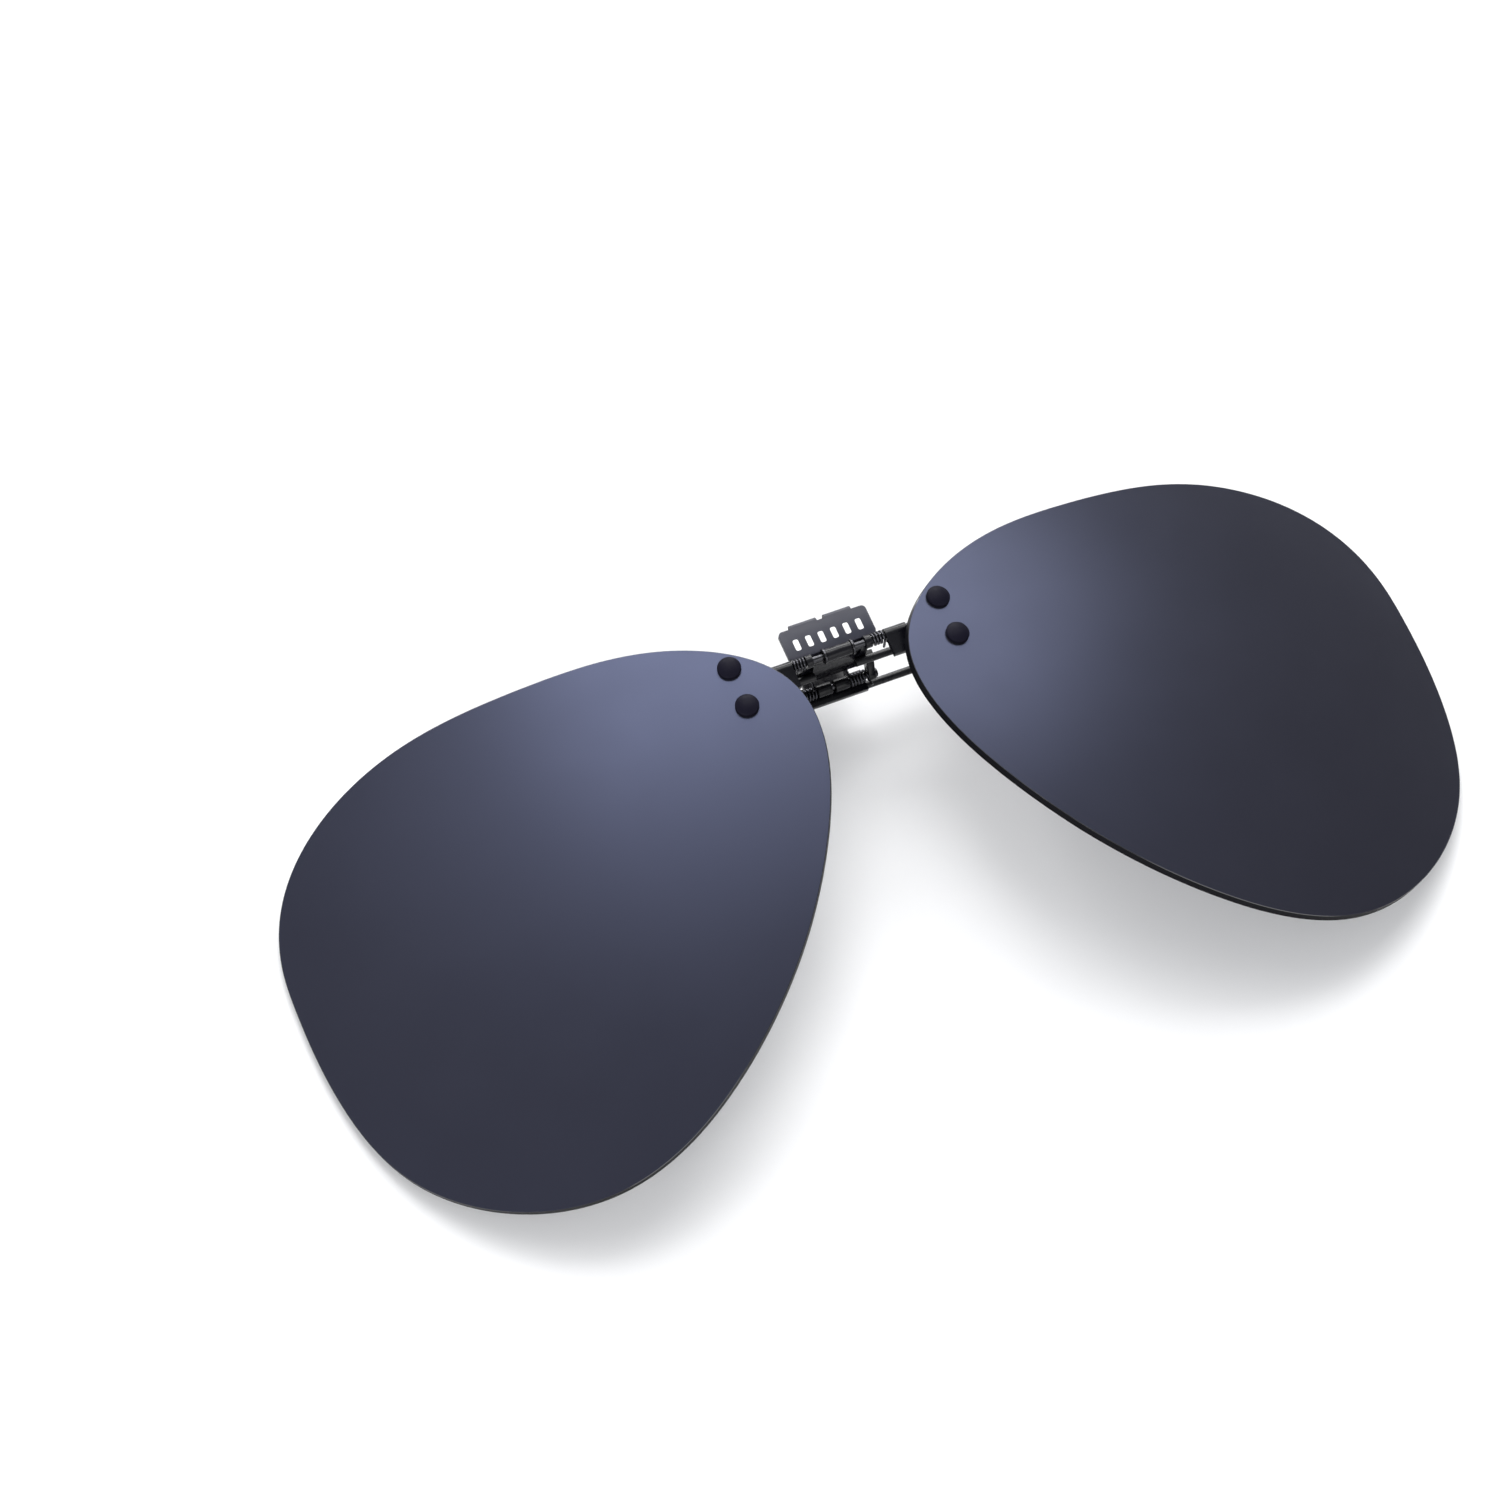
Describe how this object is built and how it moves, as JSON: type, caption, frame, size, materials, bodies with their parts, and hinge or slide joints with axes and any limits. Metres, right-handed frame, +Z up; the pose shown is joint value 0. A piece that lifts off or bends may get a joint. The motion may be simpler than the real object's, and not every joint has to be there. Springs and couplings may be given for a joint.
{
  "type": "clip-on sunglasses",
  "caption": "Rimless aviator clip-on sunglasses with tinted teardrop lenses that flip up on a spring-loaded bridge clip with rubber-tipped prongs.",
  "frame": {"origin": "on the table, in the middle of the footprint, with the clip-on lying on its back", "axes": "+X across the face, to the right as seen from the front, +Y from the cheek edge to the brow edge of the lenses, +Z up out of the front of the lenses"},
  "size_m": [0.1322, 0.0546, 0.0173],
  "materials": {
    "tinted_lens": "gloss",
    "lens_cap": "satin",
    "black_sheet": "satin",
    "front_tab": "satin",
    "pin_steel": "satin",
    "spring_wire": "satin",
    "prong_wire": "satin",
    "rubber_grip": "matte"
  },
  "bodies": {
    "clamp_base": {"base_plate": "black_sheet", "front_tab": "front_tab", "clamp_pin": "pin_steel", "left_flip_washer": "pin_steel", "right_flip_washer": "pin_steel", "left_flip_spring": "spring_wire", "right_flip_spring": "spring_wire", "left_clamp_spring": "spring_wire", "right_clamp_spring": "spring_wire", "left_front_prong": "prong_wire", "right_front_prong": "prong_wire", "left_front_grip": "rubber_grip", "right_front_grip": "rubber_grip"},
    "lens_frame": {"left_lens": "tinted_lens", "right_lens": "tinted_lens", "left_upper_cap": "lens_cap", "right_upper_cap": "lens_cap", "left_lower_cap": "lens_cap", "right_lower_cap": "lens_cap", "left_lens_bracket": "black_sheet", "right_lens_bracket": "black_sheet", "flip_pin": "pin_steel"},
    "rear_jaw": {"rear_lever": "black_sheet", "left_rear_prong": "prong_wire", "right_rear_prong": "prong_wire", "left_rear_grip": "rubber_grip", "right_rear_grip": "rubber_grip"}
  },
  "joints": [
    {"name": "lens_flip", "type": "hinge", "parent": "clamp_base", "child": "lens_frame", "pos_m": [0, 0.01805, 0.01439], "axis": [-1, 0, 0], "range_deg": [0, 90], "deforming": ["left_flip_spring", "right_flip_spring"]},
    {"name": "jaw_open", "type": "hinge", "parent": "clamp_base", "child": "rear_jaw", "pos_m": [0, 0.01715, 0.00729], "axis": [1, 0, 0], "range_deg": [0, 28], "stiffness_Nm_per_rad": 0.04, "springref_deg": -20.05, "deforming": ["left_clamp_spring", "right_clamp_spring"]}
  ]
}
